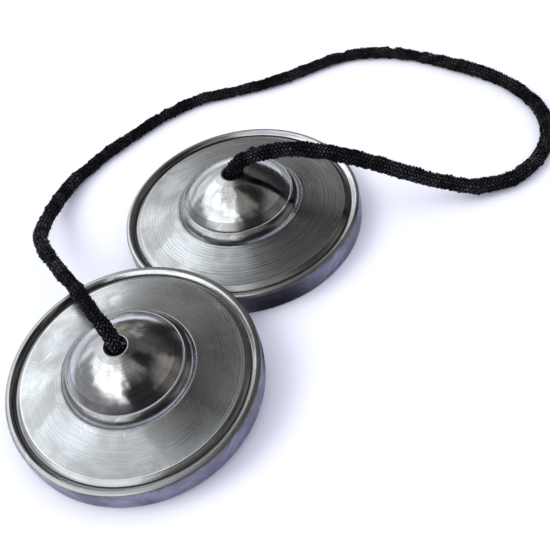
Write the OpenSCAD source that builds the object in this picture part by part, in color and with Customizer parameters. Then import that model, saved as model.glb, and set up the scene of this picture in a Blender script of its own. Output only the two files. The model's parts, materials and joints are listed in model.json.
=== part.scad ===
// Finger cymbals (tingsha): two turned bell-metal discs on one knotted cord.
// Millimetres. +Z is up and +Y runs from the front cymbal to the rear one.
// The origin is on the surface the pair lies on, midway between the two cymbals.
// The rear cymbal lies flat. The front one leans, its far rim just over the rear one's lip.

/* [View] */
// Which piece to draw

/* [Cymbal] */
// Largest diameter of a cymbal
disc_d = 65; // [64.6:0.1:65.2]
// Height of the raised lip's crest above the rim's flat underside
lip_h = 7.05; // [6.6:0.05:7.1]
// Depth of the groove between the lip and the plate
groove_depth = 1.35; // [0.8:0.05:1.8]
// Width of the flat ring under the rim
rim_w = 4.6; // [3.5:0.1:5.5]
// Thickness of the plate between the rim and the collar
plate_t = 3.1; // [2.4:0.1:3.4]
// Thickness of the dome's wall
dome_t = 2.3; // [1.8:0.1:2.5]
// Height of the dome's top above the rim's flat underside
dome_h = 20.5; // [20.2:0.1:20.7]
// Diameter of the hole the cord goes through
hole_d = 5; // [4.9:0.1:5.6]

/* [Cord] */
// Diameter of the braided cord
cord_d = 3.6; // [3.2:0.1:3.6]
// Diameter of the knot inside each dome
knot_d = 9.6; // [8.4:0.2:10]
// Height of the knot
knot_h = 8.4; // [7.4:0.2:8.8]
// Length of the cut-off tail that stands out of the knot
tail_l = 4.4; // [3:0.2:4.6]

/* [Pose] */
// How far the front cymbal leans, in degrees
lean = 7; // [7:0.1:7.6]

/* [Hidden] */
$fn = 96;
metal = [0.52, 0.52, 0.5];
cotton = [0.05, 0.05, 0.06];

disc_r = disc_d / 2;
hole_r = hole_d / 2;
cord_r = cord_d / 2;
knot_r = knot_d / 2;

// Corners of the cymbal's outside, each as [radius, height], from its foot to its hole
foot = [disc_r - 0.8, 0];
heel = foot + [0.4, 0.25];
wall_low = [disc_r - 0.15, 1.6];
wall_mid = [disc_r, 3.6];
wall_top = [disc_r, lip_h - 0.85];
crest = [disc_r - 1.1, lip_h];
crest_in = crest - [0.25, 0.05];
groove = [crest[0] - 1.5, lip_h - groove_depth];
groove_out = groove + [0.3, 0.15];
plate_edge = [disc_r - 4.2, lip_h - 0.1];
plate_out = plate_edge + [0.25, -0.15];
collar_foot = [17.1, 9.9];
collar_low = collar_foot + [-0.25, 0.3];
crease = [14.9, 12.6];
crease_in = crease - [0.12, 0.12];
dome_foot = [14.6, 12.85];
dome_top = [hole_r + 1.1, dome_h - 0.15];
mouth_out = [hole_r + 0.5, dome_h];
mouth_in = [hole_r, dome_h - 0.5];

// How far the stretches between those corners bow out, or in where negative
lip_bow = 0.28;
lip_inner_bow = -0.12;
groove_bow = 0.2;
plate_bow = -0.35;
collar_bow = 0.35;
dome_bow = 0.85;

// Corners of its inside, from the hole to the flat ring
hollow_top = [hole_r + 0.3, dome_h - 0.25 - dome_t];
hollow_mouth = [hole_r, hollow_top[1]];
hollow_foot = dome_foot - dome_t * [0.75, 0.7];
under_collar = hollow_foot + [0.5, -0.9];
under_foot = [16.6, collar_foot[1] - plate_t];
under_plate = under_foot + [0.5, -0.15];
ring = [foot[0] - rim_w, 0];
ring_step = ring + [-0.35, 0.4];
under_edge = [ring[0] - 1.4, plate_edge[1] + 0.4 - plate_t];

// How far the inside's stretches bow towards the metal's back
hollow_bow = -0.8;
under_collar_bow = 0.2;
under_bow = 0.35;

// Where the cymbals lie, and the height their foot's centre rises to as they lean
half_gap = 30.8;
lean_towards = -76;
lift = foot[0] * sin(lean);

// Corners of the knot's outline, up the cymbal's own axis
knot_top = 17;
knot_low = knot_top - knot_h;
knot_foot = [knot_r * 0.55, knot_low];
knot_heel = [knot_r * 0.8, knot_low + knot_h * 0.07];
knot_side_low = [knot_r, knot_low + knot_h * 0.4];
knot_side_high = [knot_r, knot_low + knot_h * 0.55];
knot_shoulder = [knot_r * 0.72, knot_low + knot_h * 0.9];
knot_bow = 0.32;

// Which way each knot's tail points, and how far over it is bent from upright
front_tail_turn = 200;
rear_tail_turn = -30;
tail_bend = 112;

// Centre line of the cord, from the front knot to the rear one
route = [
  [0.8, -32.9, 20.2],
  [0.2, -33, 24.5],
  [-1.2, -32.1, 27],
  [-4.7, -30, 28.9],
  [-11.5, -25.3, 28.5],
  [-18.1, -20.9, 26.7],
  [-25.1, -16.2, 23.8],
  [-32.1, -11.1, 20.7],
  [-39.4, -5.4, 17],
  [-46, 1, 12.8],
  [-51.3, 9.3, 8.4],
  [-55.2, 19, 4.6],
  [-56.7, 30.6, 2.4],
  [-54.2, 42.5, 1.85],
  [-49.4, 54, 1.85],
  [-43.9, 64.8, 1.85],
  [-36.6, 74.2, 1.85],
  [-26.7, 80.9, 1.85],
  [-16.8, 87.7, 1.85],
  [-8.3, 96.2, 1.85],
  [0.8, 104, 1.85],
  [12, 107.9, 1.85],
  [24, 108.3, 1.85],
  [35.9, 106.7, 1.85],
  [47.5, 104.3, 1.85],
  [57.5, 99.5, 1.85],
  [65.1, 92.5, 1.85],
  [69.5, 83.2, 1.85],
  [69.5, 73.2, 1.85],
  [65, 64.4, 2],
  [57, 58.1, 3.6],
  [47.8, 54.1, 7.2],
  [38.8, 50.6, 12.2],
  [30.4, 47.1, 17.2],
  [22, 43.1, 21.8],
  [13, 38.3, 25],
  [5.8, 33.8, 25.2],
  [1.8, 31.9, 23.2],
  [0.4, 31, 20.8],
  [-0.3, 30.6, 16.5]
];
sides = 8;

function unit(v) = v / norm(v);

// Points of an arc from a to b that bows out by the given height on its right
function bow(a, b, rise) =
  let (d = b - a, right = [d[1], -d[0]] / norm(d), steps = ceil(norm(d)) + 3)
  [for (i = [0 : steps]) let (t = i / steps) a + d * t + right * rise * 4 * t * (1 - t)];

outside = concat(
  [foot, heel, wall_low, wall_mid],
  bow(wall_top, crest, lip_bow),
  bow(crest_in, groove_out, lip_inner_bow),
  bow(groove, plate_out, groove_bow),
  bow(plate_edge, collar_foot, plate_bow),
  bow(collar_low, crease, collar_bow),
  [crease_in],
  bow(dome_foot, dome_top, dome_bow),
  [mouth_out, mouth_in]
);

inside = concat(
  [hollow_mouth],
  bow(hollow_top, hollow_foot, hollow_bow),
  bow(under_collar, under_foot, under_collar_bow),
  bow(under_plate, under_edge, under_bow),
  [ring_step, ring]
);

// A cymbal on its own axis, its flat ring at height 0
module cymbal() {
  rotate_extrude()
    polygon(concat(outside, inside));
}

// Half of the knot's outline, from its foot up to the neck
knot_outline = concat(
  [[0, knot_low], knot_foot],
  bow(knot_heel, knot_side_low, knot_bow),
  bow(knot_side_high, knot_shoulder, knot_bow),
  [[cord_r, knot_top], [0, knot_top]]
);

// The knot on the cymbal's axis, with its tail
module knot(turn) {
  rotate_extrude()
    polygon(knot_outline);
  translate([0, 0, knot_side_low[1]])
    rotate([0, 0, turn])
      rotate([0, tail_bend, 0])
        cylinder(r = cord_r, h = knot_r + tail_l);
}

// Takes a piece from the cymbal's own axis to where the front cymbal lies
module at_front() {
  translate([0, -half_gap, lift])
    rotate([0, 0, lean_towards])
      rotate([0, lean, 0])
        rotate([0, 0, -lean_towards])
          children();
}

module at_rear() {
  translate([0, half_gap, 0])
    children();
}

// Directions along the route, and one sideways direction carried from point to point
last = len(route) - 1;
along = [for (i = [0 : last]) unit(route[min(i + 1, last)] - route[max(i - 1, 0)])];
across = [for (i = 0, v = unit(cross(along[0], [1, 0, 0]));
  i <= last;
  i = i + 1, v = i <= last ? unit(v - (v * along[i]) * along[i]) : v) v];

// The cord's skin: one ring of points for each point of the route
rings = [for (i = [0 : last]) for (k = [0 : sides - 1])
  let (a = 360 * k / sides, w = cross(along[i], across[i]))
  route[i] + cord_r * (cos(a) * across[i] + sin(a) * w)];
skin = [for (i = [0 : last - 1]) for (k = [0 : sides - 1])
  let (a = i * sides + k, b = i * sides + (k + 1) % sides)
  each [[a, a + sides, b], [b, a + sides, b + sides]]];
ends = [[for (k = [0 : sides - 1]) k], [for (k = [sides - 1 : -1 : 0]) last * sides + k]];

module front_cymbal() {
  color(metal)
    at_front()
      cymbal();
}

module rear_cymbal() {
  color(metal)
    at_rear()
      cymbal();
}

module cord() {
  color(cotton)
    polyhedron(points = rings, faces = concat(skin, ends), convexity = 6);
}

module front_knot() {
  color(cotton)
    at_front()
      knot(front_tail_turn);
}

module rear_knot() {
  color(cotton)
    at_rear()
      knot(rear_tail_turn);
}

front_cymbal();
rear_cymbal();
cord();
front_knot();
rear_knot();
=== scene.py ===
"""Finger cymbals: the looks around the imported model.

Everything is in metres, in the row frame: +Z up, +Y from the front cymbal to the rear one.
Each cymbal is turned as one closed lathe mesh on its own joint's axis. The cord is plaited from
twenty-four real strands along the same route as the CAD tube.
"""

import json
import math

import bpy
import numpy as np
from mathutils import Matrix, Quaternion, Vector


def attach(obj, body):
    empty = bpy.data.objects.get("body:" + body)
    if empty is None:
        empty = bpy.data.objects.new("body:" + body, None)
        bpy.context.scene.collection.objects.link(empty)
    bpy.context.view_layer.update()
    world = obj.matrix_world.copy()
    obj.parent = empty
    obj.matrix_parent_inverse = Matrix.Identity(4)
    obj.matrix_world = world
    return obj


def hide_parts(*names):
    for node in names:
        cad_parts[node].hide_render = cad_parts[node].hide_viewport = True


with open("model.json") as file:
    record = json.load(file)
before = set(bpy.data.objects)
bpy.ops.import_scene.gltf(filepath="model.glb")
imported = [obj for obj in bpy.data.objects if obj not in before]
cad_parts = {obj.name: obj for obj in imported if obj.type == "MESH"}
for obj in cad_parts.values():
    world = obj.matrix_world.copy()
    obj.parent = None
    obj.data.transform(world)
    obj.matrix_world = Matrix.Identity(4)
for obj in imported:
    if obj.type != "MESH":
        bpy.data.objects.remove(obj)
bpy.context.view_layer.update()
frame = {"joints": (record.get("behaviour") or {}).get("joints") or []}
MM = 0.001
MICRON = 1e-6
FULL_TURN = 2 * math.pi
SEED = 7

# The camera stands where the photograph was taken from.
CAMERA_AT = (0.1511, -0.1774, 0.2531)
CAMERA_AZIMUTH = 35.0
CAMERA_ELEVATION = 46.95
CAMERA_ROLL = -14.25
CAMERA_LENS = 85.2

# The cymbal's main sizes in millimetres, and corners of its outside as (radius, height).
RIM_RADIUS = 32.5
HOLE_RADIUS = 2.5
DOME_HEIGHT = 20.5
PLATE_OUT = (28.2, 6.97)
COLLAR_FOOT = (17.1, 9.9)
DOME_FOOT = (14.6, 12.85)
DOME_TOP = (3.6, 20.35)
# The dome has other finishes at its foot and its crown: outside and inside these radii.
DOME_SKIRT = 13.0
CROWN = 5.0
# How far apart the lines are that the lathe tool cut.
TURNING_PITCH = 0.3
# Few enough steps round a cymbal to keep each mesh under 200,000 triangles.
SEGMENTS = 312

# The cord: the same route as in part.scad, from the front knot to the rear one.
ROUTE = [
    (0.0008, -0.0329, 0.0202),
    (0.0002, -0.0330, 0.0245),
    (-0.0012, -0.0321, 0.0270),
    (-0.0047, -0.0300, 0.0289),
    (-0.0115, -0.0253, 0.0285),
    (-0.0181, -0.0209, 0.0267),
    (-0.0251, -0.0162, 0.0238),
    (-0.0321, -0.0111, 0.0207),
    (-0.0394, -0.0054, 0.0170),
    (-0.0460, 0.0010, 0.0128),
    (-0.0513, 0.0093, 0.0084),
    (-0.0552, 0.0190, 0.0046),
    (-0.0567, 0.0306, 0.0024),
    (-0.0542, 0.0425, 0.00185),
    (-0.0494, 0.0540, 0.00185),
    (-0.0439, 0.0648, 0.00185),
    (-0.0366, 0.0742, 0.00185),
    (-0.0267, 0.0809, 0.00185),
    (-0.0168, 0.0877, 0.00185),
    (-0.0083, 0.0962, 0.00185),
    (0.0008, 0.1040, 0.00185),
    (0.0120, 0.1079, 0.00185),
    (0.0240, 0.1083, 0.00185),
    (0.0359, 0.1067, 0.00185),
    (0.0475, 0.1043, 0.00185),
    (0.0575, 0.0995, 0.00185),
    (0.0651, 0.0925, 0.00185),
    (0.0695, 0.0832, 0.00185),
    (0.0695, 0.0732, 0.00185),
    (0.0650, 0.0644, 0.0020),
    (0.0570, 0.0581, 0.0036),
    (0.0478, 0.0541, 0.0072),
    (0.0388, 0.0506, 0.0122),
    (0.0304, 0.0471, 0.0172),
    (0.0220, 0.0431, 0.0218),
    (0.0130, 0.0383, 0.0250),
    (0.0058, 0.0338, 0.0252),
    (0.0018, 0.0319, 0.0232),
    (0.0004, 0.0310, 0.0208),
    (-0.0003, 0.0306, 0.0165),
]
CORD_RADIUS = 1.8 * MM
# How full the limp cord is along its length: (share of the length, radius in millimetres).
FULLNESS = [(0, 1.72), (0.08, 1.75), (0.17, 1.85), (0.24, 1.9), (0.33, 1.6), (0.42, 1.55),
            (0.57, 1.64), (0.66, 1.86), (0.78, 1.98), (0.88, 1.98), (0.97, 2.0), (1, 1.85)]
# The braid: how many strands wind each way, and their angle to the cord in degrees.
CARRIERS = 12
PLAIT_ANGLE = 38.0
# Shares of the cord's radius: how far out the strands run, how far they weave in and out, the
# core's radius, and the radius at which they keep to PLAIT_ANGLE.
STRAND_OUT = 0.79
STRAND_WEAVE = 0.12
CORE_SHARE = 0.72
WINDING_SHARE = 0.82
# A strand's half thickness is this share of the cord's radius, shared out among the carriers. It
# is wide enough to fill this much of the room between its neighbours.
STRAND_THICK = 1.9
STRAND_FILL = 0.96
STRAND_STEP = 0.25 * MM

# The knots, in millimetres on the cymbal's own axis: the pulled cord's radius, the height of the
# knot's middle, the points that lead down into it, and those of its tail.
KNOT_CORD = 1.45
KNOT_MIDDLE = 12.6
KNOT_NECK = [(0.0, 0.0, 17.2), (0.2, 0.1, 16.2)]
KNOT_TAIL = [(0.1, -1.6, 13.0), (1.5, -2.9, 11.7), (3.2, -4.7, 10.2), (4.7, -6.5, 9.0)]
KNOT_STEP = 0.3
# Which way each tail points, in degrees round the axis, and the way that KNOT_TAIL points itself.
FRONT_TAIL_TURN = 200
REAR_TAIL_TURN = -30
TAIL_DRAWN_AT = -54

# What the metal mirrors, as patches of light seen from the object. Angles in degrees: heading of
# the middle (0 towards the camera, 90 to its right, 270 to its left), half width, lower and upper
# edge, and softness of the edges.
COOL = (0.97, 1.0, 1.03)
WARM = (1.0, 0.94, 0.87)
WINDOWS = [
    # middle, half, low, high, soft, strength, tint
    (269, 74, 29, 60, 4, 1.75, COOL),
    (250, 60, -10, 32, 8, 0.3, COOL),
    (215, 24, 6, 32, 6, 0.75, COOL),
    (178, 14, 8, 34, 7, 0.34, WARM),
    (265, 70, 60, 83, 5, 1.0, COOL),
    (75, 28, 8, 44, 9, 0.26, WARM),
    (10, 45, 56, 84, 9, 0.3, WARM),
    (150, 45, 30, 80, 14, 0.1, WARM),
    (205, 22, 62, 84, 8, 0.2, COOL),
    (160, 9, 27, 44, 4, 0.22, COOL),
]
ROOM_DARK = (0.028, 0.028, 0.032)
KEY_HEADING = 265
KEY_ELEVATION = 52
KEY_WIDTH = 34
FLOOR_HALF = 3.0
# The floor lies this far below the frame's zero, and no strand comes closer to zero than this.
FLOOR_GAP = 0.02 * MM


# ---------------------------------------------------------------- small tools

def smoothstep(t):
    t = np.clip(t, 0, 1)
    return t * t * (3 - 2 * t)


def unit(v):
    return v / np.maximum(np.linalg.norm(v, axis=-1, keepdims=True), 1e-12)


def distances(line):
    """How far along the line each of its points is."""
    return np.r_[0, np.cumsum(np.linalg.norm(np.diff(line, axis=0), axis=1))]


def length_of(line):
    return float(distances(line)[-1])


def respaced(line, step):
    """The line with its points evenly spaced, about step apart."""
    s = distances(line)
    at = np.linspace(0, s[-1], max(2, round(s[-1] / step) + 1))
    return np.stack([np.interp(at, s, line[:, k]) for k in range(3)], axis=1)


def smooth_line(points, step):
    """Points evenly spaced on a smooth curve through the given ones."""
    p = np.array(points, float)
    s = distances(p)
    slope = np.gradient(p, s, axis=0)
    fine = np.linspace(0, s[-1], int(s[-1] / step) * 4)
    i = np.clip(np.searchsorted(s, fine, "right") - 1, 0, len(p) - 2)
    h = (s[i + 1] - s[i])[:, None]
    t = (fine - s[i])[:, None] / h
    curve = ((2 * t**3 - 3 * t**2 + 1) * p[i] + (t**3 - 2 * t**2 + t) * h * slope[i]
             + (3 * t**2 - 2 * t**3) * p[i + 1] + (t**3 - t**2) * h * slope[i + 1])
    return respaced(curve, step)


def frames_along(line):
    """Directions, and two sideways directions carried along the line without twist."""
    along = unit(np.gradient(line, axis=0))
    side = np.empty_like(along)
    side[0] = unit(np.cross(along[0], (0.3, 0.2, 1.0)))
    for i in range(1, len(line)):
        v = side[i - 1] - (side[i - 1] @ along[i]) * along[i]
        side[i] = v / np.linalg.norm(v)
    return along, side, np.cross(along, side)


def outward(angle, side, up):
    """Directions at the given angles from side towards up."""
    return np.cos(angle)[..., None] * side + np.sin(angle)[..., None] * up


def mesh_object(name, points, faces, uv=None, lift=None, indices=None, materials=()):
    """A smooth mesh of quads from arrays; uv and lift hold one value per point."""
    points, faces = np.asarray(points, np.float32), np.asarray(faces, np.int32)
    count, size = faces.shape
    mesh = bpy.data.meshes.new(name)
    mesh.vertices.add(len(points))
    mesh.vertices.foreach_set("co", points.ravel())
    mesh.loops.add(count * size)
    mesh.loops.foreach_set("vertex_index", faces.ravel())
    mesh.polygons.add(count)
    mesh.polygons.foreach_set("loop_start", np.arange(0, count * size, size, dtype=np.int32))
    mesh.polygons.foreach_set("loop_total", np.full(count, size, np.int32))
    mesh.polygons.foreach_set("use_smooth", np.full(count, True))
    for material in materials:
        mesh.materials.append(material)
    if indices is not None:
        mesh.polygons.foreach_set("material_index", np.asarray(indices, np.int32))
    if uv is not None:
        layer = mesh.uv_layers.new(name="UVMap")
        layer.data.foreach_set("uv", np.asarray(uv, np.float32)[faces.ravel()].ravel())
    if lift is not None:
        layer = mesh.attributes.new("lift", "FLOAT", "POINT")
        layer.data.foreach_set("value", np.asarray(lift, np.float32))
    mesh.update(calc_edges=True)
    mesh.validate()
    obj = bpy.data.objects.new(name, mesh)
    bpy.context.scene.collection.objects.link(obj)
    return obj


def tube_faces(runs, rings, sides):
    """Quads of several open tubes, each of so many rings, laid out one after another."""
    i, k = np.meshgrid(np.arange(rings - 1), np.arange(sides), indexing="ij")
    a = i * sides + k
    b = i * sides + (k + 1) % sides
    one = np.stack([a, b, b + sides, a + sides], axis=-1).reshape(-1, 4)
    return (np.arange(runs)[:, None, None] * rings * sides + one).reshape(-1, 4)


# ---------------------------------------------------------------- camera

def make_camera():
    data = bpy.data.cameras.new("camera")
    data.sensor_width = 36
    data.lens = CAMERA_LENS
    data.clip_start = 0.01
    data.clip_end = 20
    camera = bpy.data.objects.new("camera", data)
    bpy.context.scene.collection.objects.link(camera)
    a, e = math.radians(CAMERA_AZIMUTH), math.radians(CAMERA_ELEVATION)
    forward = Vector((-math.sin(a) * math.cos(e), math.cos(a) * math.cos(e), -math.sin(e)))
    camera.rotation_mode = "QUATERNION"
    roll = Quaternion((0, 0, 1), math.radians(CAMERA_ROLL))
    camera.rotation_quaternion = forward.to_track_quat("-Z", "Y") @ roll
    camera.location = CAMERA_AT
    bpy.context.scene.camera = camera


# ---------------------------------------------------------------- shader helpers

class Shader:
    """A material's node tree, with short calls to add nodes. Inputs are numbers, tuples or sockets."""

    def __init__(self, name, world=False):
        holder = bpy.data.worlds.new(name) if world else bpy.data.materials.new(name)
        holder.use_nodes = True
        self.holder, self.tree = holder, holder.node_tree
        self.tree.nodes.clear()

    def put(self, socket, value):
        if isinstance(value, bpy.types.NodeSocket):
            self.tree.links.new(value, socket)
        else:
            socket.default_value = value

    def add(self, kind, inputs=None, **settings):
        node = self.tree.nodes.new("ShaderNode" + kind)
        for key, value in settings.items():
            setattr(node, key, value)
        for key, value in (inputs or {}).items():
            self.put(node.inputs[key], value)
        return node

    def math(self, operation, *values):
        return self.add("Math", dict(enumerate(values)), operation=operation).outputs[0]

    def vector(self, operation, *values):
        return self.add("VectorMath", dict(enumerate(values)), operation=operation).outputs[0]

    def length(self, vector):
        return self.add("VectorMath", {0: vector}, operation="LENGTH").outputs["Value"]

    def scaled(self, vector, factor):
        return self.add("VectorMath", {0: vector, "Scale": factor}, operation="SCALE").outputs[0]

    def noise(self, vector, scale, detail=2.0, rough=0.5, distortion=0.0):
        node = self.add("TexNoise", {"Vector": vector, "Scale": scale, "Detail": detail,
                                     "Roughness": rough, "Distortion": distortion})
        return node.outputs["Fac"]

    def ramp(self, value, low, high, to_low=0.0, to_high=1.0):
        """value from low..high taken smoothly to to_low..to_high, and held outside."""
        return self.add("MapRange", {"Value": value, "From Min": low, "From Max": high,
                                     "To Min": to_low, "To Max": to_high},
                        interpolation_type="SMOOTHSTEP").outputs["Result"]

    def blend(self, share, a, b):
        """A colour between a and b."""
        node = self.add("Mix", data_type="RGBA")
        # A colour mix has its factor at socket 0 and its two colours at 6 and 7.
        for index, value in ((0, share), (6, a), (7, b)):
            self.put(node.inputs[index], value)
        return node.outputs[2]

    def bump(self, height, distance, below=None):
        inputs = {"Height": height, "Distance": distance, "Strength": 1.0}
        if below is not None:
            inputs["Normal"] = below
        return self.add("Bump", inputs).outputs["Normal"]

    def finish(self, surface):
        out = self.add("OutputWorld" if isinstance(self.holder, bpy.types.World) else "OutputMaterial")
        self.tree.links.new(surface, out.inputs["Surface"])
        return self.holder


def grey(value, tint=(1.0, 1.0, 1.0)):
    return (value * tint[0], value * tint[1], value * tint[2], 1.0)


# ---------------------------------------------------------------- metal

def lathe_coordinates(tree, place, pitch):
    """How many turning lines, pitch millimetres apart, lie between the axis and a place, and
    coordinates that change with that quickly and round the axis slowly."""
    climb, streak = 0.7, 0.8
    xyz = tree.add("SeparateXYZ", {"Vector": place})
    x, y, z = xyz.outputs
    radius = tree.math("SQRT", tree.math("ADD", tree.math("POWER", x, 2.0), tree.math("POWER", y, 2.0)))
    turn = tree.math("ARCTAN2", y, x)
    out_and_up = tree.math("ADD", radius, tree.math("MULTIPLY", z, climb))
    across = tree.math("MULTIPLY", out_and_up, 1 / (pitch * MM))
    spin = tree.add("CombineXYZ", {"X": across,
                                   "Y": tree.math("MULTIPLY", tree.math("COSINE", turn), streak),
                                   "Z": tree.math("MULTIPLY", tree.math("SINE", turn), streak)})
    return across, spin.outputs[0]


def hairlines(tree, place):
    """1 on hairline scratches in three directions: the contour lines of stretched noise."""
    marks = 0.0
    for angle, fine, stretch in ((0.5, 330.0, 22.0), (1.6, 420.0, 34.0), (2.5, 260.0, 18.0)):
        turned = tree.add("VectorRotate", {"Vector": place, "Angle": angle}).outputs[0]
        drawn = tree.add("Mapping", {"Vector": turned, "Scale": (fine, fine / stretch, fine / 12)})
        level = tree.math("SUBTRACT", tree.noise(drawn.outputs[0], 1.0, detail=1.0), 0.5)
        line = tree.ramp(tree.math("ABSOLUTE", level), 0.0, 0.01, 1.0, 0.0)
        where = tree.ramp(tree.noise(turned, 150.0 + 40 * angle), 0.54, 0.64)
        marks = tree.math("MAXIMUM", marks, tree.math("MULTIPLY", line, where))
    return marks


def metal(name, clean, worn, rough, grain, lines, pitch, tone, scratches, smudge, pits, dents):
    """Turned bell metal. clean and worn are its clean and its dulled colour, rough its roughness,
    grain how much the turning stretches reflections, and lines the depth in metres of the turning
    lines, pitch millimetres apart and tone dark. scratches, smudge and pits are how much of each
    there is, and dents is how deep the polish's unevenness is, in metres."""
    brush_shade, line_shade = grey(0.16), grey(0.12, (1, 0.97, 0.92))
    scratch_shade, pit_shade = grey(0.8), grey(0.1)
    tree = Shader(name)
    place = tree.add("TexCoord").outputs["Object"]
    across, spin = lathe_coordinates(tree, place, pitch)
    ragged = tree.noise(spin, 1.3, detail=1.5, rough=0.6)
    bands = tree.noise(spin, 0.13, detail=2.0, rough=0.6)
    # The lathe's feed leaves evenly spaced lines, a little ragged.
    phase = tree.math("ADD", tree.math("MULTIPLY", across, FULL_TURN),
                      tree.math("MULTIPLY", bands, 14.0))
    feed = tree.math("MULTIPLY", tree.math("ADD", tree.math("SINE", phase), 1.0), 0.5)
    turned = tree.math("ADD", tree.math("MULTIPLY", feed, 0.35), tree.math("MULTIPLY", ragged, 0.65))
    brushed = tree.noise(tree.vector("MULTIPLY", spin, (2.3, 5.0, 5.0)), 1.0, detail=2.0, rough=0.7)
    cloud = tree.noise(place, 95.0, detail=4.0, rough=0.6, distortion=0.6)
    uneven_polish = tree.noise(place, 330.0, detail=2.0, rough=0.55)
    specks = tree.noise(place, 1500.0, detail=2.0, rough=0.7)
    dull = tree.math("MULTIPLY", tree.ramp(cloud, 0.38, 0.66), smudge)
    dull = tree.math("ADD", dull, tree.math("MULTIPLY", tree.ramp(bands, 0.35, 0.7), 0.2 * smudge))
    marks = tree.math("MULTIPLY", hairlines(tree, place), scratches)

    colour = tree.blend(dull, clean, worn)
    colour = tree.blend(tree.ramp(brushed, 0.62, 0.36, 0.0, 0.35 * grain), colour, brush_shade)
    colour = tree.blend(tree.ramp(turned, 0.52, 0.3, 0.0, tone), colour, line_shade)
    colour = tree.blend(tree.math("MULTIPLY", marks, 0.6), colour, scratch_shade)
    colour = tree.blend(tree.math("MULTIPLY", tree.ramp(specks, 0.6, 0.74), pits), colour, pit_shade)
    roughness = tree.math("ADD", rough, tree.math("MULTIPLY", dull, 0.15))
    roughness = tree.math("ADD", roughness,
                          tree.math("MULTIPLY", tree.math("SUBTRACT", turned, 0.5), tone * 0.6))
    normal = tree.bump(tree.math("ADD", turned, tree.math("MULTIPLY", bands, 1.5)), lines)
    normal = tree.bump(brushed, lines * 0.3, normal)
    normal = tree.bump(uneven_polish, dents, normal)
    normal = tree.bump(specks, (0.3 + 4 * pits) * MICRON, normal)
    normal = tree.bump(tree.math("MULTIPLY", marks, -1.0), 0.3 * MICRON, normal)
    tangent = tree.add("Tangent", direction_type="RADIAL", axis="Z").outputs[0]
    shader = tree.add("BsdfPrincipled", {
        "Base Color": colour, "Metallic": 1.0, "Roughness": roughness, "Anisotropic": grain,
        "Anisotropic Rotation": 0.25, "Tangent": tangent, "Normal": normal})
    return tree.finish(shader.outputs[0])


def cymbal_metals(tag, lines, tone, scratches, crest):
    """The finish of each zone of a cymbal, from rim to hole and back underneath. The two cymbals
    differ in the lines, tone and scratches of their plate and in how bright their crest is."""
    silver, dull = grey(0.56, (0.96, 1, 1.02)), grey(0.4, (0.97, 1, 1.01))
    dark, blue = grey(0.24, (1, 0.98, 0.95)), grey(0.3, (0.98, 0.97, 1.05))
    lilac, polished = grey(0.6, (0.98, 0.98, 1.03)), grey(0.66, (0.99, 1, 1))
    tarnished = grey(0.36, (1, 0.98, 0.95))
    cast, cast_dark = grey(0.3, (1, 0.96, 0.88)), grey(0.16, (1, 0.93, 0.84))
    finishes = {
        # clean, worn, rough, grain, lines, pitch, tone, scratches, smudge, pits and dents, where
        # lines and dents are in thousandths of a millimetre
        "wall": (lilac, blue, 0.33, 0.2, 3, 0.6, 0.25, 0.5, 0.8, 0.45, 14),
        "lip": (grey(0.5), dark, 0.28, 0.3, 2, 0.3, 0.2, 0.7, 0.9, 0.35, 4),
        "crest": (grey(crest), dull, 0.28, 0.3, 1, 0.25, 0.1, 0.6, 0.5, 0.2, 4),
        "inner": (grey(0.54), dull, 0.12, 0.2, 0.5, 0.3, 0.1, 0.1, 0.3, 0.1, 4),
        "groove": (grey(0.2), dark, 0.3, 0.3, 1, 0.2, 0.2, 0.2, 0.7, 0.3, 4),
        "slope": (grey(0.54), dull, 0.2, 0.3, 1, 0.3, 0.1, 0.3, 0.6, 0.2, 4),
        "edge": (grey(0.72), dull, 0.2, 0.3, 1, 0.3, 0.1, 0.2, 0.4, 0.1, 4),
        "plate": (silver, dull, 0.24, 0.5, lines, 0.6, tone, scratches, 0.75, 0.05, 3),
        "collar": (grey(0.38), dark, 0.18, 0.4, 1, 0.3, 0.15, 0.5, 0.6, 0.2, 4),
        "foot": (grey(0.44), dark, 0.17, 0.35, 0.4, 0.35, 0.1, 0.4, 0.6, 0.15, 4),
        "dome": (polished, tarnished, 0.1, 0.15, 0.25, 0.5, 0.1, 0.6, 0.6, 0.05, 15),
        "crown": (grey(0.5), dull, 0.22, 0.4, 2, 0.3, 0.2, 0.5, 0.6, 0.3, 4),
        "inside": (cast, cast_dark, 0.5, 0.2, 9, 0.8, 0.3, 0.3, 1.0, 0.8, 20),
        "ring": (grey(0.6), dull, 0.28, 0.5, 4, 0.3, 0.3, 0.8, 0.7, 0.2, 4),
    }
    metals = {}
    for zone, (clean, worn, rough, grain, depth, *marks, dents) in finishes.items():
        metals[zone] = metal(f"{zone}_{tag}", clean, worn, rough, grain, depth * MICRON, *marks,
                             dents * MICRON)
    return metals


# ---------------------------------------------------------------- cymbal

def bow(a, b, rise, step=0.5):
    """Points of an arc from a to b, bowing out on its right by rise; millimetres."""
    a, b = np.array(a, float), np.array(b, float)
    d = b - a
    right = np.array([d[1], -d[0]]) / np.linalg.norm(d)
    t = np.linspace(0, 1, max(4, math.ceil(np.linalg.norm(d) / step)) + 1)[:, None]
    return a + d * t + right * rise * 4 * t * (1 - t)


def turning_marks(points, depth, rng):
    """The points moved up and down by the lines that the lathe tool left."""
    fade = 0.4
    s = distances(points)
    knots = np.arange(0, s[-1] + TURNING_PITCH, TURNING_PITCH)
    height = np.interp(s, knots, rng.normal(0, 1, len(knots))) * depth
    height *= smoothstep(np.minimum(s, s[-1] - s) / fade)
    return points + np.stack([np.zeros(len(s)), height], axis=1)


def scribed(points, radii, depth=0.022, width=0.11):
    """The points with fine grooves cut at the given radii."""
    cut = sum(np.exp(-((points[:, 0] - r) / width) ** 2) for r in radii)
    return points - np.stack([np.zeros(len(points)), cut * depth], axis=1)


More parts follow.
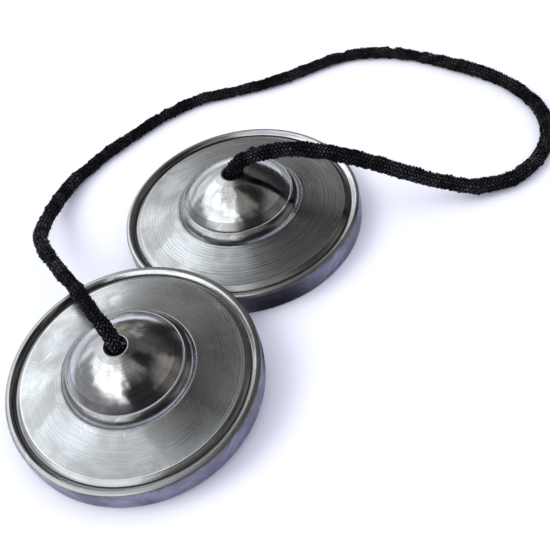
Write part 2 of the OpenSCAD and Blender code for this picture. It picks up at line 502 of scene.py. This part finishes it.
def cymbal_outline(rng, depth, rings, lip_out, lip_in, lip_bow):
    """The closed outline as (zone, points [radius, height] in millimetres), a finer one than
    part.scad's. depth is that of the plate's turning lines, rings the radii of its scribed rings,
    lip_out and lip_in the height of the crest's outer and inner edge, and lip_bow its bulge."""
    plate = scribed(bow(PLATE_OUT, COLLAR_FOOT, -0.35, 0.12), rings)
    dome = bow(DOME_FOOT, DOME_TOP, 0.85, 0.35)
    crown, foot = dome[:, 0] < CROWN, dome[:, 0] > DOME_SKIRT
    return [
        ("wall", np.array([(31.66, 0.0), (31.74, 0.03), (32.05, 0.2), (32.12, 0.3)])),
        ("wall", bow((32.16, 0.4), (32.49, 3.4), 0.06, 0.35)),
        ("wall", bow((RIM_RADIUS, 3.6), (RIM_RADIUS, 5.9), 0.0, 0.4)),
        ("lip", bow((32.49, 6.05), (32.27, lip_out - 0.1), 0.05, 0.15)),
        ("crest", bow((32.2, lip_out), (31.1, lip_in), lip_bow, 0.09)),
        ("inner", bow((31.04, lip_in - 0.06), (30.2, 6.36), 0.02, 0.1)),
        ("groove", np.array([(30.12, 6.27), (30.08, 6.1), (30.05, 5.86), (29.98, 5.77),
                             (29.88, 5.77), (29.8, 5.84), (29.76, 5.98), (29.7, 6.12)])),
        ("slope", bow((29.62, 6.2), (28.5, 6.86), 0.03, 0.1)),
        ("edge", np.array([(28.44, 6.92), (28.36, 6.97), (28.27, 6.98)])),
        ("plate", turning_marks(plate, depth, rng)[1:-1]),
        ("edge", np.array([(17.18, 9.84), (17.1, 9.82), (17.04, 9.86), (16.98, 9.97)])),
        ("collar", bow((16.9, 10.12), (14.98, 12.5), 0.32, 0.18)),
        ("edge", np.array([(14.93, 12.56), (14.87, 12.57), (14.8, 12.52), (14.74, 12.52),
                           (14.7, 12.58), (14.66, 12.7)])),
        ("foot", dome[foot]),
        ("dome", turning_marks(dome[~crown & ~foot], depth * 0.12, rng)),
        ("crown", turning_marks(dome[crown], depth * 0.6, rng)),
        ("crown", np.array([(3.45, 20.42), (3.2, 20.48), (2.95, 20.48), (2.72, 20.4),
                            (2.58, 20.25), (HOLE_RADIUS, 20.0)])),
        ("inside", bow((HOLE_RADIUS, 19.8), (2.52, 18.1), 0.0)),
        ("inside", bow((2.7, 17.95), (12.88, 11.24), -0.8, 0.7)),
        ("inside", bow((13.38, 10.34), (16.6, 6.8), 0.2, 0.7)),
        ("inside", bow((17.1, 6.65), (25.7, 4.25), 0.35, 0.7)),
        ("inside", bow((25.75, 4.15), (26.7, 0.45), 0.0, 0.6)),
        ("ring", np.array([(26.8, 0.2), (27.0, 0.06), (27.15, 0.01)])),
        ("ring", bow((27.3, 0.0), (31.5, 0.0), 0.0)),
    ]


def ring_centre(joint):
    """The joint's axis, and the point on it that is level with the cymbal's flat ring."""
    axis = Vector(joint["axis"]).normalized()
    return axis, Vector(joint["pos_m"]) - axis * DOME_HEIGHT * MM


def turned_cymbal(name, joint, body, node, outline, materials):
    """One lathe mesh on the joint's axis, with one material for each zone of its outline."""
    zones = list(materials)
    profile = np.concatenate([points for _, points in outline]) * MM
    zone = np.concatenate([np.full(len(points), zones.index(z)) for z, points in outline])
    rows = len(profile)
    turn = np.linspace(0, FULL_TURN, SEGMENTS, endpoint=False)
    r, z = profile[:, :1], profile[:, 1:]
    # The inside is left as it was cast, about a tenth of a millimetre out of true.
    swell = 0.06 * MM * (np.sin(2 * turn + 1.1) + 0.6 * np.sin(5 * turn + 0.4) + 0.4 * np.sin(9 * turn))
    as_cast = (zone == zones.index("inside"))[:, None]
    r = r - as_cast * np.abs(swell)
    points = np.stack([r * np.cos(turn), r * np.sin(turn), np.repeat(z, SEGMENTS, 1)], axis=-1)
    i, k = np.meshgrid(np.arange(rows), np.arange(SEGMENTS), indexing="ij")
    near, far = i * SEGMENTS, (i + 1) % rows * SEGMENTS
    k_next = (k + 1) % SEGMENTS
    faces = np.stack([near + k, near + k_next, far + k_next, far + k], axis=-1).reshape(-1, 4)
    obj = mesh_object(name, points.reshape(-1, 3), faces, indices=np.repeat(zone, SEGMENTS),
                      materials=list(materials.values()))
    axis, centre = ring_centre(joint)
    obj.rotation_mode = "QUATERNION"
    obj.rotation_quaternion = Vector((0, 0, 1)).rotation_difference(axis)
    obj.location = centre
    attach(obj, body)
    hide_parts(node)


def make_cymbals(joints):
    rng = np.random.default_rng(SEED + 1)
    outline = cymbal_outline(rng, depth=0.002, rings=(27.35, 18.3),
                             lip_out=6.64, lip_in=6.99, lip_bow=0.06)
    turned_cymbal("front_cymbal_turned", joints["front_spin"], "front_disc", "front_cymbal", outline,
                  cymbal_metals("front", lines=2.5, tone=0.1, scratches=1.0, crest=0.42))
    outline = cymbal_outline(rng, depth=0.005, rings=(27.4, 26.3, 24.6, 18.1),
                             lip_out=6.72, lip_in=6.9, lip_bow=0.2)
    turned_cymbal("rear_cymbal_turned", joints["rear_spin"], "rear_disc", "rear_cymbal", outline,
                  cymbal_metals("rear", lines=16, tone=0.36, scratches=0.4, crest=0.62))


# ---------------------------------------------------------------- cord

def cotton(name, gap, crest, stray=0.05):
    """Cotton yarn: gap is its colour away from the strands' tops, the yarn's black kept very dark as
    painted shade between the strands; crest is a painted highlight on the tops of strands that lie
    over, and stray how much pale fluff there is. UV holds the way along the strand in millimetres
    and the share of the way round it."""
    tree = Shader(name)
    uv = tree.add("SeparateXYZ", {"Vector": tree.add("TexCoord").outputs["UV"]})
    u, v = uv.outputs[0], uv.outputs[1]
    place = tree.add("TexCoord").outputs["Object"]
    # The fibres lie askew in the yarn.
    askew = tree.math("ADD", tree.math("MULTIPLY", v, 9.0), tree.math("MULTIPLY", u, 3.0))
    lay = tree.add("CombineXYZ", {"X": tree.math("MULTIPLY", u, 1.3), "Y": askew, "Z": 0.0})
    fibre = tree.noise(lay.outputs[0], 1.0, detail=3.0, rough=0.7)
    patch = tree.noise(place, 190.0, detail=3.0, rough=0.6)
    fluff = tree.noise(place, 3200.0, detail=2.0, rough=0.6)
    # A strand's top is a quarter of the way round it; where the strand lies over another, the top
    # gets a painted highlight.
    lit_top = tree.ramp(tree.math("ABSOLUTE", tree.math("SUBTRACT", v, 0.25)), 0.0, 0.24, 1.0, 0.0)
    lift = tree.add("Attribute", attribute_name="lift").outputs["Fac"]
    lit_top = tree.math("MULTIPLY", lit_top, tree.ramp(lift, 0.5, 1.0))
    share = tree.math("MULTIPLY", tree.ramp(fibre, 0.44, 0.72, 0.1, 1.0),
                      tree.ramp(patch, 0.38, 0.66, 0.2, 1.0))
    # Painted highlight on the tops of strands that lie over, painted shade (the gap colour) elsewhere.
    base = tree.blend(tree.math("MULTIPLY", share, lit_top), gap, crest)
    base = tree.blend(tree.math("MULTIPLY", tree.ramp(fluff, 0.66, 0.78), stray), base, grey(0.4))
    normal = tree.bump(fibre, 0.05 * MM)
    normal = tree.bump(fluff, 0.03 * MM, normal)
    shader = tree.add("BsdfPrincipled", {
        "Base Color": base, "Roughness": 0.85, "Specular IOR Level": 0.06, "Sheen Weight": 0.006,
        "Sheen Roughness": 0.4, "Normal": normal})
    return tree.finish(shader.outputs[0])


def uneven(rng, rows, length, spacing, size):
    """Smooth random values along a length, one row per strand."""
    knots = np.arange(0, length + 2 * spacing, spacing)
    fine = np.linspace(0, length, max(2, int(length / (spacing / 6))))
    at = fine / spacing
    i = at.astype(int)
    t = smoothstep(at - i)
    values = rng.normal(0, size, (rows, len(knots)))
    return fine, values[:, i] * (1 - t) + values[:, i + 1] * t


def plait(line, radius, way, carriers, rng, half=None, sides=4):
    """The strands that wind one way (+1 or -1) round the line, over two and under two of the
    others. radius is the cord's, one per point. half picks every other strand, 0 or 1. Returns
    points, faces, uv and lift, which is 1 where a strand is over and 0 where it is under."""
    along, side, up = frames_along(line)
    s = distances(line)
    lay = math.radians(PLAIT_ANGLE)
    wind = way * math.tan(lay) / (WINDING_SHARE * CORD_RADIUS) * s[None, :]
    cell = FULL_TURN / carriers
    strand = np.arange(carriers)[:, None] if half is None else np.arange(half, carriers, 2)[:, None]
    angle = strand * cell + wind
    # Which of the other strands it meets here, counted along both: over for two, under for two.
    meets = strand + (angle + wind) / cell
    over = way * np.cos(math.pi / 2 * (meets - 0.5))
    over = np.sign(over) * np.abs(over) ** 0.7
    fine, slack = uneven(rng, len(strand), s[-1], 1.1 * MM, 0.13 * MM)
    slack = np.stack([np.interp(s, fine, row) for row in slack])
    thick = radius[None, :] * STRAND_THICK / carriers
    middle = radius[None, :] * STRAND_OUT + slack + over * radius[None, :] * STRAND_WEAVE
    width = math.pi * STRAND_OUT * radius[None, :] / carriers * math.cos(lay) * STRAND_FILL
    out = outward(angle, side, up)
    around = way * outward(angle + math.pi / 2, side, up)
    centre = line + middle[..., None] * out
    lead = unit(along * math.cos(lay) + around * math.sin(lay))
    across = np.cross(lead, out)
    ring = np.arange(sides) * FULL_TURN / sides
    points = (centre[:, :, None] + np.cos(ring)[:, None] * (across * width[..., None])[:, :, None]
              + np.sin(ring)[:, None] * (out * thick[..., None])[:, :, None])
    points[..., 2] = np.maximum(points[..., 2], FLOOR_GAP)
    # Each strand starts at another place in the yarn's pattern.
    u = np.broadcast_to(s[None, :, None] / MM, points.shape[:3]) + strand[:, :, None] * 7.3
    v = np.broadcast_to(ring[None, None, :] / FULL_TURN, points.shape[:3])
    faces = tube_faces(len(strand), len(line), sides)
    lift = np.broadcast_to(over[:, :, None] * 0.5 + 0.5, points.shape[:3])
    return points.reshape(-1, 3), faces, np.stack([u, v], axis=-1).reshape(-1, 2), lift.ravel()


def core(line, radius, sides=12):
    """A round tube inside the plait, so that nothing shows between its strands."""
    _, side, up = frames_along(line)
    ring = np.arange(sides) * FULL_TURN / sides
    points = line[:, None] + radius[:, None, None] * outward(ring, side[:, None], up[:, None])
    u = np.broadcast_to(np.arange(len(line))[:, None] * 0.3, (len(line), sides))
    v = np.broadcast_to(ring / FULL_TURN, (len(line), sides))
    return (points.reshape(-1, 3), tube_faces(1, len(line), sides),
            np.stack([u, v], axis=-1).reshape(-1, 2), np.zeros(len(line) * sides))


def hairs(line, radius, count, length, thick, rng, spans=3):
    """Fibres that stand out of the cord: count curved, tapered threads."""
    sides = 3
    taper = 0.75
    raised = 0.7
    along, side, up = frames_along(line)
    at = rng.integers(2, len(line) - 2, count)
    angle = rng.uniform(0, FULL_TURN, count)
    out = outward(angle, side[at], up[at])
    round_it = np.cross(along[at], out)
    start = line[at] + out * (radius[at] * 0.9)[:, None]
    lean = rng.normal(0, 1, (count, 2))
    heading = unit(out * 0.75 + along[at] * lean[:, :1] + round_it * lean[:, 1:])
    bend = unit(rng.normal(0, 1, (count, 3))) * rng.uniform(0.3, 1.6, (count, 1))
    reach = length * rng.uniform(0.35, 1.0, (count, 1))
    t = np.linspace(0, 1, spans + 1)[None, :, None]
    path = start[:, None] + reach[:, None] * (heading[:, None] * t + bend[:, None] * 0.5 * t**2)
    path[..., 2] = np.maximum(path[..., 2], thick * 2)
    lead = unit(np.gradient(path, axis=1))
    a = unit(np.cross(lead, np.array([0.31, 0.52, 0.79])))
    b = np.cross(lead, a)
    ring = np.arange(sides) * FULL_TURN / sides
    wide = thick * (1 - taper * t)
    points = path[:, :, None] + wide[..., None] * outward(ring, a[:, :, None], b[:, :, None])
    u = np.broadcast_to(t * 3, points.shape[:3])
    v = np.broadcast_to(ring / FULL_TURN, points.shape[:3])
    return (points.reshape(-1, 3), tube_faces(count, spans + 1, sides),
            np.stack([u, v], axis=-1).reshape(-1, 2), np.full(count * (spans + 1) * sides, raised))


def joined(parts):
    """Several (points, faces, uv, lift) as one."""
    start = np.cumsum([0] + [len(p[0]) for p in parts[:-1]])
    return (np.concatenate([p[0] for p in parts]),
            np.concatenate([p[1] + n for p, n in zip(parts, start)]),
            np.concatenate([p[2] for p in parts]),
            np.concatenate([p[3] for p in parts]))


def cord_line():
    """The cord's smooth centre line and its radius at each point."""
    steady_ends = 12 * MM
    low = 2.3 * MM
    off_floor = 0.03 * MM
    line = smooth_line(ROUTE, STRAND_STEP)
    share = np.linspace(0, 1, len(line))
    at, full = np.array(FULLNESS).T
    radius = np.interp(share, at, full) * MM
    s = share * length_of(line)
    rng = np.random.default_rng(SEED + 5)
    for spacing, size in ((6 * MM, 0.05 * MM), (2.2 * MM, 0.07 * MM)):
        fine, lumps = uneven(rng, 4, s[-1], spacing, size)
        radius = radius + np.interp(s, fine, lumps[0])
        ends = smoothstep(np.minimum(s, s[-1] - s) / steady_ends)[:, None]
        line = line + ends * np.stack([np.interp(s, fine, row) for row in lumps[1:]], axis=1)
    resting = np.maximum(line[:, 2] - CORD_RADIUS + radius, radius + off_floor)
    line[:, 2] = np.where(line[:, 2] < low, resting, line[:, 2])
    return line, radius


def knot_line(joint, turn):
    """An overhand knot pulled tight below the hole, then its cut tail. turn is which way the tail
    points, in degrees round the cymbal's axis."""
    t = np.linspace(0.12, 1.9, 60) * math.pi
    trefoil = np.stack([np.sin(t) + 2 * np.sin(2 * t), np.cos(t) - 2 * np.cos(2 * t), -np.sin(3 * t)],
                       axis=1)
    trefoil = trefoil * (1.12, 1.12, 2.6) + (0, 0, KNOT_MIDDLE)
    a = math.radians(turn - TAIL_DRAWN_AT)
    spin = np.array([[math.cos(a), -math.sin(a), 0], [math.sin(a), math.cos(a), 0], [0, 0, 1]])
    local = np.concatenate([KNOT_NECK, np.concatenate([trefoil, KNOT_TAIL]) @ spin.T]) * MM
    axis, centre = ring_centre(joint)
    rotate = Vector((0, 0, 1)).rotation_difference(axis).to_matrix()
    return smooth_line(local @ np.array(rotate).T + np.array(centre), KNOT_STEP * MM)


def make_knot(end, joint, turn, material, rng):
    blunt_end = 0.9
    tip = 0.15
    line = knot_line(joint, turn)
    to_end = (len(line) - 1 - np.arange(len(line))) * KNOT_STEP
    radius = KNOT_CORD * MM * (tip + (1 - tip) * smoothstep(to_end / blunt_end))
    shape = joined([plait(line, radius, 1, CARRIERS, rng),
                    plait(line, radius, -1, CARRIERS, rng),
                    core(line, radius * CORE_SHARE)])
    piece = mesh_object(f"{end}_knot_tied", *shape, materials=[material])
    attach(piece, "cord_and_knots")
    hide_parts(f"{end}_knot")


def make_cord(joints):
    rng = np.random.default_rng(SEED)
    # Each cotton's second colour is a painted highlight on the strands' tops.
    black = cotton("cotton_black", grey(0.001, (1, 1, 1.2)), grey(0.23, (1, 1, 1.12)), 0.14)
    deep = cotton("cotton_core", grey(0.003), grey(0.006))
    stray = cotton("cotton_stray", grey(0.006, (1, 1, 1.2)), grey(0.1, (1, 1, 1.12)), 0.06)
    pale = cotton("lint_pale", grey(0.3), grey(0.55))
    line, radius = cord_line()
    pieces = []
    for name, way, half in (("right_a", 1, 0), ("right_b", 1, 1), ("left_a", -1, 0), ("left_b", -1, 1)):
        strands = plait(line, radius, way, CARRIERS, rng, half)
        pieces.append(mesh_object(f"cord_{name}", *strands, materials=[black]))
    fuzz = joined([hairs(line, radius, 6500, 1.0 * MM, 0.035 * MM, rng),
                   hairs(line, radius, 2400, 0.75 * MM, 0.09 * MM, rng)])
    lint = hairs(line, radius * 1.06, 150, 0.9 * MM, 0.06 * MM, rng, spans=5)
    for name, shape, material in (("cord_core", core(line[::3], radius[::3] * CORE_SHARE), deep),
                                  ("cord_fuzz", fuzz, stray),
                                  ("cord_lint", lint, pale)):
        pieces.append(mesh_object(name, *shape, materials=[material]))
    for piece in pieces:
        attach(piece, "cord_and_knots")
    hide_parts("cord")
    make_knot("front", joints["front_spin"], FRONT_TAIL_TURN, black, rng)
    make_knot("rear", joints["rear_spin"], REAR_TAIL_TURN, black, rng)


# ---------------------------------------------------------------- floor and light

def make_floor():
    """Pale paper. What the metal mirrors of it carries a painted shadow: it is dimmer and cooler near
    the cymbals, and nearly black in the nook between them."""
    tree = Shader("floor_paper")
    place = tree.add("TexCoord").outputs["Object"]
    tone = tree.noise(place, 6.0, detail=2.0)
    tooth = tree.noise(place, 1800.0, detail=3.0, rough=0.6)
    colour = tree.blend(tone, (0.86, 0.872, 0.9, 1), (0.875, 0.885, 0.905, 1))
    # Painted shadow that only the metal sees: the mirrored paper is dimmer and cooler in an ellipse
    # round the cymbals, and nearly black in the nook between them.
    shade = tree.vector("ADD", place, (-0.03, 0.008, 0.0))
    reach = tree.length(tree.vector("MULTIPLY", shade, (17.0, 12.0, 0.0)))
    mirrored_painted_shadow = tree.blend(tree.ramp(reach, 0.85, 1.3), (0.5, 0.5, 0.66, 1), (0.88, 0.89, 0.92, 1))
    from_nook = tree.length(tree.vector("SUBTRACT", place, (0.027, 0.001, 0.0)))
    mirrored_painted_shadow = tree.blend(tree.ramp(from_nook, 0.006, 0.02), (0.02, 0.02, 0.03, 1), mirrored_painted_shadow)
    mirrored = tree.add("LightPath").outputs["Is Glossy Ray"]
    colour = tree.blend(mirrored, colour, mirrored_painted_shadow)
    shader = tree.add("BsdfPrincipled", {
        "Base Color": colour, "Roughness": 0.85, "Specular IOR Level": 0.1,
        "Normal": tree.bump(tooth, 0.03 * MM)})
    corners = [(x * FLOOR_HALF, y * FLOOR_HALF, 0) for x, y in ((-1, -1), (1, -1), (1, 1), (-1, 1))]
    floor = mesh_object("floor", corners, [(0, 1, 2, 3)], materials=[tree.finish(shader.outputs[0])])
    floor.location.z = -FLOOR_GAP


def patch_of_light(tree, heading, height, middle, half, low, high, soft, strength, tint):
    """Light from one patch of the room, laid out as a row of WINDOWS."""
    turned = tree.math("SUBTRACT", heading, math.radians(CAMERA_AZIMUTH - 90 + middle))
    turned = tree.math("ABSOLUTE", tree.math("WRAP", turned, math.pi, -math.pi))
    half, low, high, soft = (math.radians(x) for x in (half, low, high, soft))
    beside = tree.ramp(turned, half - soft, half + soft, 1.0, 0.0)
    above = tree.ramp(height, low - soft, low + soft)
    below = tree.ramp(height, high - soft, high + soft, 1.0, 0.0)
    share = tree.math("MULTIPLY", tree.math("MULTIPLY", beside, above), below)
    return tree.scaled(tuple(strength * x for x in tint), share)


def room_light(tree):
    """What the metal mirrors: a big window on the left of the view and a dim room on the right."""
    direction = tree.add("TexCoord").outputs["Generated"]
    way = tree.add("SeparateXYZ", {"Vector": direction})
    # Nothing outside has a straight edge, so each direction is read a little beside itself.
    beside = tree.math("SUBTRACT", tree.noise(direction, 6.0, detail=4.0, rough=0.6), 0.5)
    above = tree.math("SUBTRACT", tree.noise(direction, 7.3, detail=4.0, rough=0.6), 0.5)
    heading = tree.math("ARCTAN2", way.outputs[1], way.outputs[0])
    heading = tree.math("ADD", heading, tree.math("MULTIPLY", beside, 1.1))
    height = tree.math("ADD", tree.math("ARCSINE", way.outputs[2]), tree.math("MULTIPLY", above, 0.35))
    light = ROOM_DARK
    for window in WINDOWS:
        light = tree.vector("ADD", light, patch_of_light(tree, heading, height, *window))
    # Trees and frames outside break the window up.
    leaves = tree.noise(direction, 5.0, detail=5.0, rough=0.66, distortion=0.5)
    return tree.scaled(light, tree.ramp(leaves, 0.3, 0.52, 0.4, 1.15))


def make_world():
    """The room is only in reflections: matt things get even light, and the camera sees paper."""
    tree = Shader("room", world=True)
    path = tree.add("LightPath")
    room = tree.add("Background", {"Color": room_light(tree), "Strength": 1.0})
    even = tree.add("Background", {"Color": (1.0, 1.01, 1.2, 1.0), "Strength": 1.0})
    paper = tree.add("Background", {"Color": (0.96, 0.98, 1.0, 1.0), "Strength": 1.0})
    mixed = tree.add("MixShader", {0: path.outputs["Is Diffuse Ray"], 1: room.outputs[0],
                                   2: even.outputs[0]})
    mixed = tree.add("MixShader", {0: path.outputs["Is Camera Ray"], 1: mixed.outputs[0],
                                   2: paper.outputs[0]})
    bpy.context.scene.world = tree.finish(mixed.outputs[0])


def make_key():
    """A soft key light from the left, which the metal doesn't mirror."""
    data = bpy.data.lights.new("key", "SUN")
    data.energy = 0.9
    data.angle = math.radians(KEY_WIDTH)
    data.color = (1.0, 0.98, 0.92)
    key = bpy.data.objects.new("key", data)
    a, e = math.radians(CAMERA_AZIMUTH - 90 + KEY_HEADING), math.radians(KEY_ELEVATION)
    towards = Vector((math.cos(a) * math.cos(e), math.sin(a) * math.cos(e), math.sin(e)))
    key.rotation_mode = "QUATERNION"
    key.rotation_quaternion = towards.to_track_quat("Z", "Y")
    key.visible_glossy = False
    bpy.context.scene.collection.objects.link(key)


# ---------------------------------------------------------------- the scene

joints = {joint["name"]: joint for joint in frame["joints"]}
make_camera()
make_cord(joints)
make_cymbals(joints)
make_floor()
make_world()
make_key()
bpy.context.scene.view_settings.view_transform = "Standard"

bpy.context.view_layer.update()
